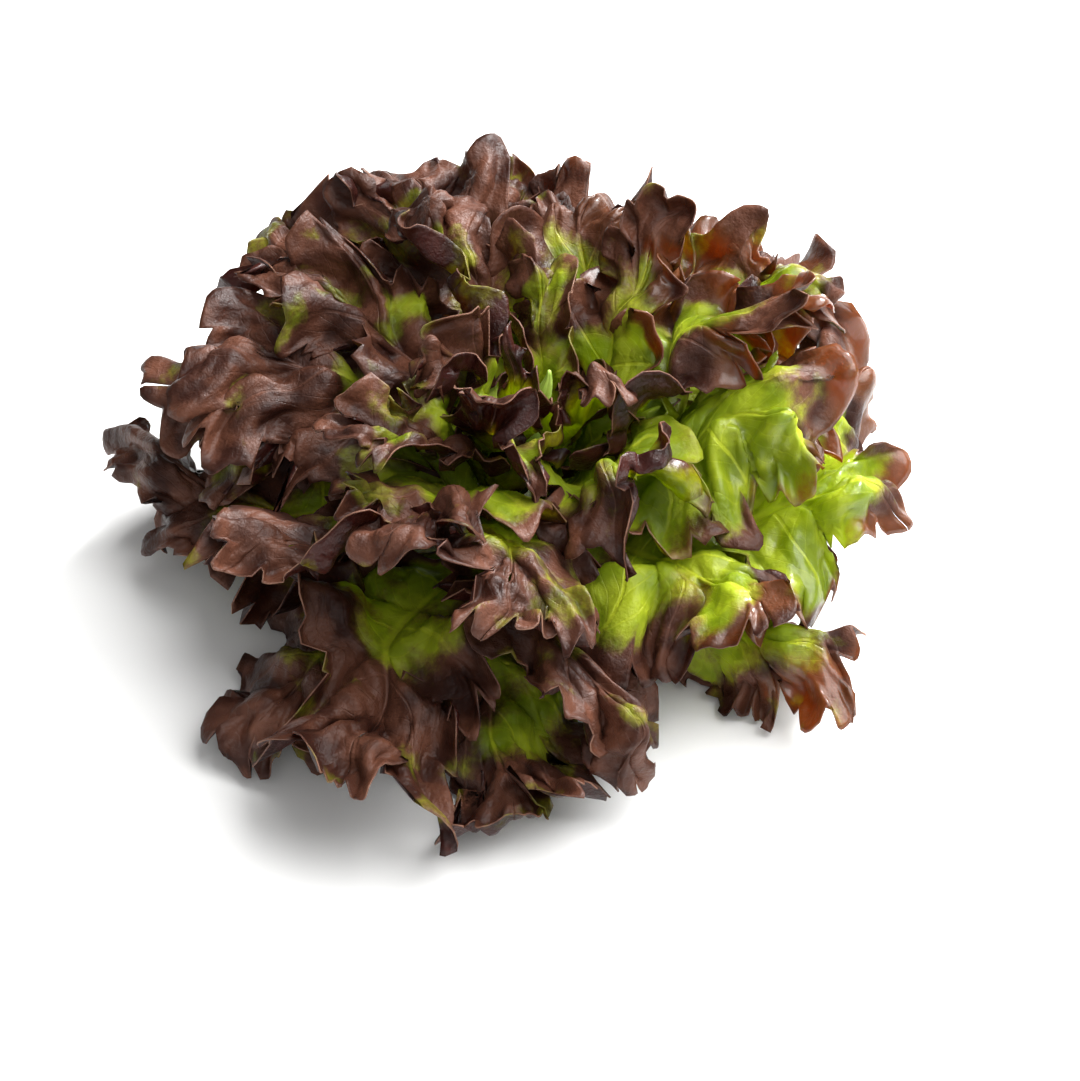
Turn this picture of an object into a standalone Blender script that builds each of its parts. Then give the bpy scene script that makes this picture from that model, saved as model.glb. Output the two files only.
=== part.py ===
"""A cut head of red oak-leaf lettuce, standing on its trimmed stem.

A lettuce head is a spiral of leaves round a short stem. Each leaf leaves the dome of the stem at
its own angle, arches outwards like water from a fountain, and ends in rounded oak-leaf lobes that
puff up, twist, and bend up or roll back. The outer leaves are long and lie low, the inner ones are
short and upright, and the smallest are crowded together in the heart.

The script draws a lively shape for every leaf from one seed. Then it goes round the leaves, and
draws those that cross another one anew and ever more calmly, until no two of them cross.

Metres, +Z up. The origin is the middle of the cut face that the head stands on. The viewer of the
head stands on the -Y side, and +X is to the right.
"""

import math

import bmesh
import bpy
import numpy as np
from mathutils.bvhtree import BVHTree

MM = 0.001

# Driving dimensions of the stem
DOME_RADIUS = 21.0 * MM
DOME_CENTRE_Z = 26.0 * MM
CUT_FACE_RADIUS = 15.5 * MM
DOME_LOWEST_ANGLE = math.radians(118)
STEM_SIDES = 28

# The outer leaves, from the lowest up: the way each points in degrees (0 is right, 90 is back),
# its length, the angle from straight up at which it starts, and how much further it leans over
OUTER_LEAVES = (
    (254, 132, 92, 9),
    (40, 124, 92, 9),
    (140, 118, 90, 10),
    (334, 118, 86, 12),
    (222, 118, 89, 11),
    (92, 132, 84, 15),
    (8, 136, 80, 16),
    (180, 136, 80, 16),
    (241, 142, 82, 15),
    (116, 116, 77, 17),
    (66, 130, 74, 18),
    (320, 92, 76, 20),
    (276, 112, 74, 22),
    (204, 130, 71, 24),
    (164, 122, 67, 26),
    (350, 130, 68, 26),
)

# The rest of the leaves follow a golden-angle spiral up into the heart, and the back ones of them
# are longer than the front ones
LEAF_COUNT = 43
GOLDEN_ANGLE = 137.508
SPIRAL_START = 255.0
SPIRAL_LAUNCH = (66.0, 54.0, 42.0, 29.0, 14.0)
SPIRAL_ARCH = (30.0, 42.0, 48.0, 44.0, 14.0)
SPIRAL_LENGTH = (122.0, 122.0, 120.0, 108.0, 70.0)
SPIRAL_BREADTH = (0.39, 0.39, 0.38, 0.33, 0.25)
LONGEST_AZIMUTH = 100.0
LONGER_BY = 0.10
HEART_LEAN = (0.09, 0.15)

# The bud of unopened leaves at the very middle
BUD_LENGTH = 44.0 * MM
BUD_RADIUS = 5.0 * MM
BUD_SIDES = 12
BUD_RINGS = 9

# Thickness of the leaves, and the room kept between them
LEAF_ROOT_GAP = 0.8 * MM
BLADE_THICKNESS = 0.9 * MM
RIB_THICKNESS = 1.4 * MM
LEAF_CLEARANCE = 0.6 * MM
FLOOR_CLEARANCE = 0.9 * MM
FLOOR_SOFTNESS = 6.0 * MM

# A vein leaves the midrib at u, which runs from 0 at the root of the leaf to 1 at its tip. Three
# lobes on each side and half of the tip's lobe lie between u of FIRST_SINUS and u of 1.
FIRST_SINUS = 0.16
LOBES = 3.5
SINUS_DEPTH = 0.40
VEIN_PLACES = (0.0, 0.08) + tuple(
    FIRST_SINUS + (1 - FIRST_SINUS) * lobe / LOBES
    for lobe in (0, 0.17, 0.83, 1, 1.17, 1.83, 2, 2.17, 2.83, 3, 3.18, 3.5)
)
VEIN_STEPS = (0.0, 0.32, 0.68, 1.0)
SEED = 9
SWEEPS = 80
TRIES = 5

# Lobes combed down by hand after the search: the leaf's rank, its side, the place of the lobe in
# its bends, and the new bend
COMBED = (
    (28, 0, 3, -0.3),
    (7, 0, 4, -0.5),
    (7, 1, 4, -0.5),
    (17, 1, 3, -0.6),
    (30, 1, 3, 0.3),
    (30, 0, 4, -1.0),
    (30, 1, 4, -1.0),
)


def smooth(value, low, high):
    """0 below low, 1 above high, and an S-shaped rise between them."""
    t = np.clip((value - low) / (high - low), 0.0, 1.0)
    return t * t * (3 - 2 * t)


def mix(first, last, share):
    return first + (last - first) * share


class Leaf:
    """One leaf, as the few numbers that its form is worked out from."""

    def __init__(self, azimuth, launch, arch, length, breadth):
        self.azimuth = azimuth
        self.length = length
        self.breadth = breadth  # the longest vein, as a share of the length
        self.bends = np.zeros((2, 5))  # how far the root part and each lobe bend up, side by side
        self.swirls = np.zeros((2, 4))  # how far each lobe twists about its own vein
        self.puff = 0.0  # how far the lobes swell up between the sinuses
        self.cup = 0.0  # how far both sides wrap towards the heart
        self.wave = (0.0, 0.0)  # size and phase of the waves along the midrib
        self.bank = 0.0  # how far the blade banks to one side by the tip
        self.drift = 0.0  # how far the midrib swings to one side by the tip
        along = np.linspace(0.0, 1.25, 61)
        lean = launch + arch * along**1.8
        middle = (lean[1:] + lean[:-1]) / 2
        step = along[1] * length
        root = DOME_RADIUS + LEAF_ROOT_GAP
        out = root * math.sin(launch) + np.concatenate([[0.0], np.cumsum(np.sin(middle) * step)])
        up = root * math.cos(launch) + np.concatenate([[0.0], np.cumsum(np.cos(middle) * step)])
        self.arc = (along * length, out, up + DOME_CENTRE_Z, lean)


def lobe_place(u):
    """Which lobe the vein at u belongs to, and its place across that lobe from -1 to 1."""
    place = LOBES * (u - FIRST_SINUS) / (1 - FIRST_SINUS)
    lobe = np.clip(np.floor(place), 0, 3)
    return place, lobe.astype(int), np.clip(2 * (place - lobe) - 1, -1, 1)


def vein_length(leaf, u):
    """Length of the vein that leaves the midrib at u: the oak-leaf outline."""
    root = min(0.035 * leaf.length, 0.5 * leaf.arc[1][0]) / leaf.length
    body = mix(root, leaf.breadth, smooth(u, 0.0, 0.46))
    tip = mix(body, 0.25, smooth(u, 0.72, 1.0))
    place, lobe, across = lobe_place(u)
    scallop = np.sqrt(np.maximum(1 - across**4, 0.0))
    cut = SINUS_DEPTH * smooth(u, 0.08, 0.3)
    return leaf.length * tip * (1 - cut * (1 - scallop) * (place > -1))


def vein_angle(u):
    """Angle between a vein and the midrib: square at the root, and closing to nothing at the tip."""
    return np.radians(82 - 48 * smooth(u, 0.05, 0.9)) * (1 - u**12) ** 0.6


def vein_bend(leaf, side, u):
    """How far the vein bends out of the leaf's surface by its end, towards the heart if positive."""
    place, lobe, across = lobe_place(u)
    knots = (-0.5, 0.3, 0.7, 1.3, 1.7, 2.3, 2.7, 3.2, 3.5)
    picks = (0, 1, 1, 2, 2, 3, 3, 4, 4)
    left, right = (np.interp(place, knots, bends[list(picks)]) for bends in leaf.bends)
    return np.where(side < 0, left, right) + leaf.cup


def leaf_points(leaf, side, u, out):
    """Points of the leaf's middle surface, at the share out of the way along the vein at u."""
    bend = vein_bend(leaf, side, u) * out
    reach = vein_length(leaf, u) * out
    flat = reach * np.sinc(bend / np.pi)
    lift = reach * np.sin(bend / 2) * np.sinc(bend / (2 * np.pi))
    angle = vein_angle(u)
    along = 0.76 * leaf.length * u + flat * np.cos(angle)
    across = side * flat * np.sin(angle)
    share = along / leaf.length

    place, lobe, over = lobe_place(u)
    grown = smooth(u, 0.12, 0.3)
    swirl = np.where(side < 0, leaf.swirls[0][lobe], leaf.swirls[1][lobe])
    lift = lift + leaf.puff * (1 - over**2) * np.sin(np.pi * out**0.8) * grown
    lift = lift + swirl * 2.6 * over * (1 - over**2) * out**1.5 * grown
    lift = lift + leaf.wave[0] * np.sin(9.0 * share + leaf.wave[1]) * smooth(share, 0.25, 0.8)
    lift = lift + across * math.tan(leaf.bank) * smooth(share, 0.2, 0.9)

    radius = np.interp(along, leaf.arc[0], leaf.arc[1])
    height = np.interp(along, leaf.arc[0], leaf.arc[2])
    lean = np.interp(along, leaf.arc[0], leaf.arc[3])
    turn = leaf.azimuth + across / np.hypot(radius, 6 * MM) + leaf.drift * share**2
    radius = radius - lift * np.cos(lean)
    height = height + lift * np.sin(lean)
    return settled(np.stack([radius * np.cos(turn), radius * np.sin(turn), height], -1))


def settled(points):
    """The whole head's own sway, and the leaves that reach the floor lying along it."""
    x, y, z = points[..., 0], points[..., 1], points[..., 2]
    away = np.sqrt(x * x + y * y + (z - DOME_CENTRE_Z) ** 2)
    sway = 5.0 * MM * smooth(away, 28 * MM, 90 * MM)
    lean = np.maximum(z - DOME_CENTRE_Z - 8 * MM, 0.0) * smooth(away, 20 * MM, 40 * MM)
    x = x + sway * (np.sin(52 * y + 1.3) + 0.5 * np.sin(95 * z + 31 * x)) + HEART_LEAN[0] * lean
    y = y + sway * (np.sin(49 * z + 40 * x + 0.4) + 0.5 * np.sin(88 * x + 2.0)) + HEART_LEAN[1] * lean
    z = z + sway * (np.sin(55 * x + 2.1) * 0.7 + 0.5 * np.sin(80 * y + 0.7))
    ripple = 0.4 * sway
    x, y, z = (
        x + ripple * np.sin(150 * z + 110 * y),
        y + ripple * np.sin(150 * x + 110 * z),
        z + ripple * np.sin(150 * y + 110 * x),
    )
    room = FLOOR_SOFTNESS - FLOOR_CLEARANCE
    pressed = FLOOR_CLEARANCE + room * np.exp(np.minimum(z - FLOOR_SOFTNESS, 0.0) / room)
    return np.stack([x, y, np.where(z < FLOOR_SOFTNESS, pressed, z)], -1)


def blade_grid():
    """Side, place and share along the vein of each point, ray after ray round the leaf."""
    sides = [-1.0] * len(VEIN_PLACES) + [1.0] * (len(VEIN_PLACES) - 1)
    places = list(VEIN_PLACES) + list(VEIN_PLACES[-2::-1])
    side = np.repeat(sides, len(VEIN_STEPS))
    u = np.repeat(places, len(VEIN_STEPS))
    out = np.tile(VEIN_STEPS, len(sides))
    return side, u, out


def blade_triangles():
    """Triangles of the grid, with the midrib's points shared by the two sides."""
    rays, steps = 2 * len(VEIN_PLACES) - 1, len(VEIN_STEPS)

    def point(ray, step):
        ray = min(ray, rays - 1 - ray) if step == 0 else ray
        return ray * steps + step

    found = []
    for ray in range(rays - 1):
        for step in range(steps - 1):
            a, b = point(ray, step), point(ray, step + 1)
            c, d = point(ray + 1, step + 1), point(ray + 1, step)
            if ray < (rays - 1) // 2:
                found += [(a, b, d), (b, c, d)]
            else:
                found += [(a, b, c), (a, c, d)]
    return found


def blade_rim():
    """Edges that only one triangle has, each in that triangle's own direction."""
    edges = [edge for a, b, c in TRIANGLES for edge in ((a, b), (b, c), (c, a))]
    return sorted(set(edges) - {(b, a) for a, b in edges})


def shell_faces():
    """Triangles of a closed leaf: the upper face, the lower face, and the rim between the two."""
    count = len(GRID[0])
    lower = [(c + count, b + count, a + count) for a, b, c in TRIANGLES]
    rim = []
    for a, b in blade_rim():
        rim += [(b, a, a + count), (b, a + count, b + count)]
    return TRIANGLES + lower + rim


def face_lobes():
    """The side and the lobe of the leaf that each triangle of the closed leaf is on."""
    side, u, out = GRID
    place, lobe, across = lobe_place(u)
    found = []
    for face in FACES:
        outer = max((i % len(u) for i in face), key=lambda i: out[i])
        found.append((int(side[outer] > 0), int(lobe[outer])))
    return found


GRID = blade_grid()
TRIANGLES = blade_triangles()
FACES = shell_faces()
FACE_LOBES = face_lobes()


def point_normals(points):
    """Unit normals of the blade's points."""
    corners = points[np.array(TRIANGLES)]
    across = np.cross(corners[:, 1] - corners[:, 0], corners[:, 2] - corners[:, 0])
    total = np.zeros_like(points)
    for corner in range(3):
        np.add.at(total, np.array(TRIANGLES)[:, corner], across)
    return total / np.maximum(np.linalg.norm(total, axis=1), 1e-12)[:, None]


def thickness(u, out):
    """The blade is thin, and the midrib is a fleshy rib that dies away towards the tip."""
    rib = (RIB_THICKNESS - BLADE_THICKNESS) * (1 - smooth(u, 0.0, 0.9)) * (1 - smooth(out, 0.0, 0.9))
    return BLADE_THICKNESS + rib


def shell_points(points, extra=0.0):
    """Points of the closed leaf's upper face and then of its lower one, each moved out by extra."""
    side, u, out = GRID
    half = (thickness(u, out) / 2 + extra)[:, None] * point_normals(points)
    return np.concatenate([points + half, points - half])


def shell_tree(points):
    """A search tree of the closed leaf, swollen by half of the room that is kept between leaves."""
    return BVHTree.FromPolygons(shell_points(points, LEAF_CLEARANCE / 2).tolist(), FACES)


def spiral(rank):
    """Azimuth, length, launch, arch and breadth, in degrees and millimetres, of this rank's leaf."""
    if rank < len(OUTER_LEAVES):
        return (*OUTER_LEAVES[rank], SPIRAL_BREADTH[0])
    turn = rank - len(OUTER_LEAVES)
    share = turn / (LEAF_COUNT - len(OUTER_LEAVES) - 1)
    knots = np.linspace(0, 1, len(SPIRAL_LAUNCH))
    curves = (SPIRAL_LENGTH, SPIRAL_LAUNCH, SPIRAL_ARCH, SPIRAL_BREADTH)
    length, launch, arch, breadth = (float(np.interp(share, knots, values)) for values in curves)
    azimuth = SPIRAL_START + turn * GOLDEN_ANGLE
    length *= 1 + LONGER_BY * math.cos(math.radians(azimuth - LONGEST_AZIMUTH))
    return azimuth, length, launch, arch, breadth


def draw_traits(random):
    """Every trait of a leaf as a number between -1 and 1, and its size as a share of full size."""
    return {
        "set": random.uniform(-1, 1, 4),
        "spine": random.uniform(-1, 1, 5),
        "bends": random.uniform(-1, 1, (2, 5)),
        "swirls": random.uniform(-1, 1, (2, 4)),
        "size": np.ones(1),
    }


def grow(rank, traits):
    """The leaf of this rank with these traits."""
    azimuth, length, launch, arch, breadth = spiral(rank)
    turn, grow_on, lean, over = traits["set"]
    azimuth += turn * mix(4, 12, smooth(rank, 0, len(OUTER_LEAVES)))
    length *= (1 + 0.06 * grow_on) * traits["size"][0]
    launch += 1.5 * lean
    arch += 8.0 * over
    leaf = Leaf(math.radians(azimuth), math.radians(launch), math.radians(arch), length * MM, breadth)
    size = length / 130
    wave, phase, bank, drift, puff = traits["spine"]
    liveliness = np.array([0.1, 0.4, 0.8, 1.0, 1.0]) * math.radians(115)
    leaf.bends = (traits["bends"] - 0.3) * liveliness
    leaf.bends[1, 4] = leaf.bends[0, 4]
    leaf.swirls = traits["swirls"] * 8.0 * MM * size
    leaf.swirls[1, 3] = leaf.swirls[0, 3]
    leaf.wave = (6.0 * wave * MM * size, math.pi * phase)
    leaf.bank = 0.35 * bank
    leaf.drift = 0.25 * drift
    leaf.puff = (3.5 + 2.5 * puff) * MM * size
    return leaf


def redraw(rank, traits, lobes, calm, random):
    """The traits with one of them drawn anew, mostly that of a lobe which crosses another leaf."""
    new = {name: values.copy() for name, values in traits.items()}
    crowding = smooth(rank, 12, 22) * smooth(calm, 0.5, 1.0)
    new["size"][0] = min(traits["size"][0], 1 - 0.3 * crowding)
    reach = 1 - 0.9 * calm
    if random.uniform() < 0.6:
        side, lobe = lobes[random.integers(len(lobes))]
        new["bends"][side, lobe + 1] = mix(0.3, random.uniform(-1, 1), reach)
        new["swirls"][side, lobe] = random.uniform(-1, 1) * reach
    elif random.uniform() < 0.4:
        new["set"][random.integers(4)] = random.uniform(-1, 1)
    else:
        new["spine"][random.integers(5)] = random.uniform(-1, 1) * reach
    return new


def combed(rank, leaf):
    """The leaf, with any lobe that stood up out of the head bent down by hand."""
    for which, side, lobe, bend in COMBED:
        if which == rank:
            leaf.bends[side, lobe] = bend
    return leaf


def crossings(tree, others):
    """How many pairs of triangles cross, and the sides and lobes of the leaf that they are on."""
    count, lobes = 0, set()
    for other in others:
        for own, _ in tree.overlap(other):
            count += 1
            lobes.add(FACE_LOBES[own])
    return count, sorted(lobes)


def object_tree(thing):
    """A search tree of an object's own mesh, which stands in its place in the head."""
    return BVHTree.FromPolygons(
        [vertex.co for vertex in thing.data.vertices],
        [tuple(face.vertices) for face in thing.data.polygons],
    )


def lay_leaves(obstacles):
    """All the leaves, with those that cross redrawn, ever more calmly, until none of them do."""
    random = np.random.default_rng(SEED)
    fixed = [object_tree(thing) for thing in obstacles]
    traits = [draw_traits(random) for rank in range(LEAF_COUNT)]
    trees = [shell_tree(leaf_points(grow(rank, own), *GRID)) for rank, own in enumerate(traits)]
    for sweep in range(SWEEPS):
        total = 0
        for rank in range(LEAF_COUNT):
            others = trees[:rank] + trees[rank + 1 :] + fixed
            count, lobes = crossings(trees[rank], others)
            for attempt in range(TRIES if count else 0):
                trial = redraw(rank, traits[rank], lobes, sweep / SWEEPS, random)
                tree = shell_tree(leaf_points(grow(rank, trial), *GRID))
                trial_count, trial_lobes = crossings(tree, others)
                if trial_count <= count:
                    traits[rank], trees[rank], count, lobes = trial, tree, trial_count, trial_lobes
                if not count:
                    break
            total += count
        if not total:
            break
    print("sweeps", sweep + 1, "crossings left", total)
    leaves = [combed(rank, grow(rank, own)) for rank, own in enumerate(traits)]
    trees = [shell_tree(leaf_points(leaf, *GRID)) for leaf in leaves]
    laid = []
    for rank, leaf in enumerate(leaves):
        others = [trees[other] for other, _ in laid] + trees[rank + 1 :] + fixed
        if crossings(trees[rank], others)[0]:
            print("leaf", rank, "is left out")
        else:
            laid.append((rank, leaf))
    return laid


def material(name, colour, roughness):
    made = bpy.data.materials.new(name)
    made.use_nodes = True
    shader = made.node_tree.nodes["Principled BSDF"]
    shader.inputs["Base Color"].default_value = (*colour, 1.0)
    shader.inputs["Roughness"].default_value = roughness
    shader.inputs["Metallic"].default_value = 0.0
    return made


def add_object(name, bm, finish):
    """A new object that takes over the bmesh."""
    mesh = bpy.data.meshes.new(name)
    bm.to_mesh(mesh)
    bm.free()
    mesh.materials.append(finish)
    made = bpy.data.objects.new(name, mesh)
    bpy.context.scene.collection.objects.link(made)
    return made


def leaf_object(name, points, finish):
    """The closed leaf as an object."""
    bm = bmesh.new()
    corners = [bm.verts.new(point) for point in shell_points(points)]
    for face in FACES:
        bm.faces.new([corners[i] for i in face])
    bmesh.ops.delete(bm, geom=[v for v in bm.verts if not v.link_faces], context="VERTS")
    return add_object(name, bm, finish)


def build_stem(finish):
    """The trimmed butt: a flat cut face below, and the dome that the leaves grow from above."""
    profile = [(0.0, 0.0), (CUT_FACE_RADIUS, 0.0), (CUT_FACE_RADIUS + 0.8 * MM, 2.0 * MM)]
    for k in range(11):
        angle = DOME_LOWEST_ANGLE * (1 - k / 10)
        profile.append((DOME_RADIUS * math.sin(angle), DOME_CENTRE_Z + DOME_RADIUS * math.cos(angle)))
    bm = bmesh.new()
    line = [bm.verts.new((x, 0.0, z)) for x, z in profile]
    edges = [bm.edges.new(pair) for pair in zip(line, line[1:])]
    bmesh.ops.spin(
        bm,
        geom=line + edges,
        cent=(0, 0, 0),
        axis=(0, 0, 1),
        angle=2 * math.pi,
        steps=STEM_SIDES,
        use_merge=True,
    )
    bmesh.ops.remove_doubles(bm, verts=bm.verts, dist=0.01 * MM)
    bmesh.ops.recalc_face_normals(bm, faces=bm.faces)
    return add_object("stem", bm, finish)


def build_heart(finish):
    """The bud: a closed cone whose sides are folded and twisted like furled leaves."""
    bm = bmesh.new()
    bmesh.ops.create_cone(
        bm, cap_ends=True, cap_tris=True, segments=BUD_SIDES, radius1=1.0, radius2=1.0, depth=1.0
    )
    upright = [edge for edge in bm.edges if abs(edge.verts[0].co.z - edge.verts[1].co.z) > 0.5]
    bmesh.ops.subdivide_edges(bm, edges=upright, cuts=BUD_RINGS - 1)
    base = DOME_CENTRE_Z + DOME_RADIUS + 0.5 * MM
    for vertex in bm.verts:
        share = vertex.co.z + 0.5
        angle = math.atan2(vertex.co.y, vertex.co.x)
        swell = mix(0.45, 1.0, smooth(share, 0.0, 0.45)) * (1 - smooth(share, 0.5, 1.12))
        fold = 1 + 0.22 * math.sin(3 * angle + 5 * share) * smooth(share, 0.0, 0.3)
        radius = BUD_RADIUS * swell * fold * math.hypot(vertex.co.x, vertex.co.y)
        place = (radius * math.cos(angle), radius * math.sin(angle), base + BUD_LENGTH * share)
        vertex.co = settled(np.array(place))
    bmesh.ops.triangulate(bm, faces=bm.faces)
    bmesh.ops.recalc_face_normals(bm, faces=bm.faces)
    return add_object("heart", bm, finish)


def leaf_names(ranks):
    """Each leaf's zone of the head, and its number there from the outside inwards."""
    outer, middle = len(OUTER_LEAVES), (len(OUTER_LEAVES) + LEAF_COUNT) // 2
    zones = ["outer" if rank < outer else "middle" if rank < middle else "inner" for rank in ranks]
    return [f"{zone}_leaf_{zones[:i].count(zone) + 1:02d}" for i, zone in enumerate(zones)]


def main():
    for old in list(bpy.data.objects):
        bpy.data.objects.remove(old)
    finishes = {
        "outer": material("outer_leaf_red", (0.10, 0.03, 0.035), 0.45),
        "middle": material("middle_leaf_red", (0.13, 0.05, 0.035), 0.45),
        "inner": material("inner_leaf_green", (0.22, 0.32, 0.06), 0.45),
    }
    stem = build_stem(material("stem_flesh", (0.70, 0.74, 0.48), 0.5))
    heart = build_heart(material("heart_leaf_green", (0.42, 0.58, 0.12), 0.45))
    laid = lay_leaves([stem, heart])
    for name, (rank, leaf) in zip(leaf_names([rank for rank, leaf in laid]), laid):
        leaf_object(name, leaf_points(leaf, *GRID), finishes[name.split("_")[0]])


main()
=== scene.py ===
# %% [markdown]
# # A head of red oak-leaf lettuce
#
# A cut head of loose-leaf lettuce stands on its trimmed stem. Its leaves are long and lobed like an
# oak's. They spring from a short dome, arch outwards, and ruffle at their ends. Where light
# reached them they are dark burgundy, and where their neighbours shaded them they stayed green.
#
# The solid model gives the frame: plain leaves of the right size in the right places. This lesson
# works out the same leaves again by the same rule, and grows each of them into a fine, crinkled,
# thin and translucent blade.

# %% The frame
import math

import bmesh
import bpy
import numpy as np
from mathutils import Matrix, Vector, noise
from mathutils.bvhtree import BVHTree


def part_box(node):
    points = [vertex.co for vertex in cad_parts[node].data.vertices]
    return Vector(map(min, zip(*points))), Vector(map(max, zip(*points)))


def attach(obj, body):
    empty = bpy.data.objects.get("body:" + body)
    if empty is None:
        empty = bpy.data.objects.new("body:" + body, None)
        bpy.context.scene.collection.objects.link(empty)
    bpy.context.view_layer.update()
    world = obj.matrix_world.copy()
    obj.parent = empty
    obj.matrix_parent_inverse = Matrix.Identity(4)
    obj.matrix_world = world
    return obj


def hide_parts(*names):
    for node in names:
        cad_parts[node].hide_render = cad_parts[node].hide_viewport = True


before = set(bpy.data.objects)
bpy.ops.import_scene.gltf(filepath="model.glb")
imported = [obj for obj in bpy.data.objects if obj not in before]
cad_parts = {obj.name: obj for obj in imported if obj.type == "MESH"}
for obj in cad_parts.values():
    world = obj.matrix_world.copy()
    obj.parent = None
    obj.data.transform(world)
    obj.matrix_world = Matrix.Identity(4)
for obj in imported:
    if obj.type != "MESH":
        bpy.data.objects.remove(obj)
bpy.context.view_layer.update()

MM = 0.001

# %% [markdown]
# ## Dimensions
#
# Everything starts at the stem: a short butt with a flat cut face below and a dome above. The
# leaves are counted from the outside inwards. The outer ones are given one by one, because their
# places make the outline, and the others follow the golden-angle spiral that plants grow by.

# %% Dimensions of the head
DOME_RADIUS = 21.0 * MM
DOME_CENTRE_Z = 26.0 * MM
CUT_FACE_RADIUS = 15.5 * MM
DOME_LOWEST_ANGLE = math.radians(118)

# The outer leaves, from the lowest up: the way each points in degrees (0 is right, 90 is back), its
# length in millimetres, the angle from straight up at which it starts, and how much further it
# leans over
OUTER_LEAVES = (
    (254, 132, 92, 9),
    (40, 124, 92, 9),
    (140, 118, 90, 10),
    (334, 118, 86, 12),
    (222, 118, 89, 11),
    (92, 132, 84, 15),
    (8, 136, 80, 16),
    (180, 136, 80, 16),
    (241, 142, 82, 15),
    (116, 116, 77, 17),
    (66, 130, 74, 18),
    (320, 92, 76, 20),
    (276, 112, 74, 22),
    (204, 130, 71, 24),
    (164, 122, 67, 26),
    (350, 130, 68, 26),
)

# The others, at five places from the lowest to the heart. Those at the back are longer.
LEAF_COUNT = 43
GOLDEN_ANGLE = 137.508
SPIRAL_START = 255.0
SPIRAL_LAUNCH = (66.0, 54.0, 42.0, 29.0, 14.0)
SPIRAL_ARCH = (30.0, 42.0, 48.0, 44.0, 14.0)
SPIRAL_LENGTH = (122.0, 122.0, 120.0, 108.0, 70.0)
SPIRAL_BREADTH = (0.39, 0.39, 0.38, 0.33, 0.25)
LONGEST_AZIMUTH = 100.0
LONGER_BY = 0.10

# How far the heart leans to the right and back, and the leaf length that details are sized for
HEART_LEAN = (0.09, 0.15)
USUAL_LENGTH = 130.0

# The solid leaves' thickness, and the room kept between them and over the floor
LEAF_ROOT_GAP = 0.8 * MM
BLADE_THICKNESS = 0.9 * MM
RIB_THICKNESS = 1.4 * MM
LEAF_CLEARANCE = 0.6 * MM
FLOOR_CLEARANCE = 0.9 * MM
FLOOR_SOFTNESS = 6.0 * MM

# Three lobes on each side and half of the tip's lobe lie between the first sinus, at this share of
# the midrib, and the leaf's tip
FIRST_SINUS = 0.16
LOBES = 3.5
SINUS_DEPTH = 0.40
VEINED_SHARE = 0.76

# %% [markdown]
# ## The form of one leaf
#
# A midrib leaves the dome at a launch angle and leans over more and more along an arc, like water
# from a fountain. Veins fan out from it. The outline is how far each vein reaches, and it dips at
# the sinuses between the lobes. Each lobe bends up or rolls under, twists about its own vein and
# puffs up in the middle. All of this is worked out for whole arrays of points at once.

# %% Helpers for curves
def smooth(value, low, high):
    """0 below low, 1 above high, and an S-shaped rise between them."""
    t = np.clip((value - low) / (high - low), 0.0, 1.0)
    return t * t * (3 - 2 * t)


def mix(first, last, share):
    return first + (last - first) * share


# %% One leaf as numbers
ARC_REACH = 1.25  # the midrib's arc is worked out a little beyond the leaf's tip
ARC_POINTS = 61


class Leaf:
    """One leaf, as the few numbers that its form is worked out from."""

    def __init__(self, azimuth, launch, arch, length, breadth):
        self.azimuth = azimuth
        self.length = length
        self.breadth = breadth
        self.sinus = SINUS_DEPTH
        self.bends = np.zeros((2, 5))
        self.swirls = np.zeros((2, 4))
        self.puff = 0.0
        self.wave = (0.0, 0.0)
        self.bank = 0.0
        self.drift = 0.0
        along = np.linspace(0.0, ARC_REACH, ARC_POINTS)
        lean = launch + arch * along**1.8
        middle = (lean[1:] + lean[:-1]) / 2
        step = along[1] * length
        root = DOME_RADIUS + LEAF_ROOT_GAP
        out = root * math.sin(launch) + np.concatenate([[0.0], np.cumsum(np.sin(middle) * step)])
        up = root * math.cos(launch) + np.concatenate([[0.0], np.cumsum(np.cos(middle) * step)])
        self.arc = (along * length, out, up + DOME_CENTRE_Z, lean)


# %% Veins and outline
def lobe_place(u):
    """Which lobe the vein at u belongs to, and its place across that lobe from -1 to 1."""
    place = LOBES * (u - FIRST_SINUS) / (1 - FIRST_SINUS)
    lobe = np.clip(np.floor(place), 0, 3)
    return place, lobe.astype(int), np.clip(2 * (place - lobe) - 1, -1, 1)


def vein_length(leaf, u):
    """Length of the vein that leaves the midrib at u: the oak-leaf outline."""
    root = min(0.035 * leaf.length, 0.5 * leaf.arc[1][0]) / leaf.length
    body = mix(root, leaf.breadth, smooth(u, 0.0, 0.46))
    tip = mix(body, 0.25, smooth(u, 0.72, 1.0))
    place, lobe, across = lobe_place(u)
    scallop = np.sqrt(np.maximum(1 - across**4, 0.0))
    cut = leaf.sinus * smooth(u, 0.08, 0.3)
    return leaf.length * tip * (1 - cut * (1 - scallop) * (place > -1))


def vein_angle(u):
    """Angle between a vein and the midrib: square at the root, and closing to nothing at the tip."""
    return np.radians(82 - 48 * smooth(u, 0.05, 0.9)) * (1 - u**12) ** 0.6


def vein_bend(leaf, side, u):
    """How far the vein bends out of the leaf's surface by its end, towards the heart if positive."""
    place, lobe, across = lobe_place(u)
    knots = (-0.5, 0.3, 0.7, 1.3, 1.7, 2.3, 2.7, 3.2, 3.5)
    picks = (0, 1, 1, 2, 2, 3, 3, 4, 4)
    left, right = (np.interp(place, knots, bends[list(picks)]) for bends in leaf.bends)
    return np.where(side < 0, left, right)


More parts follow.
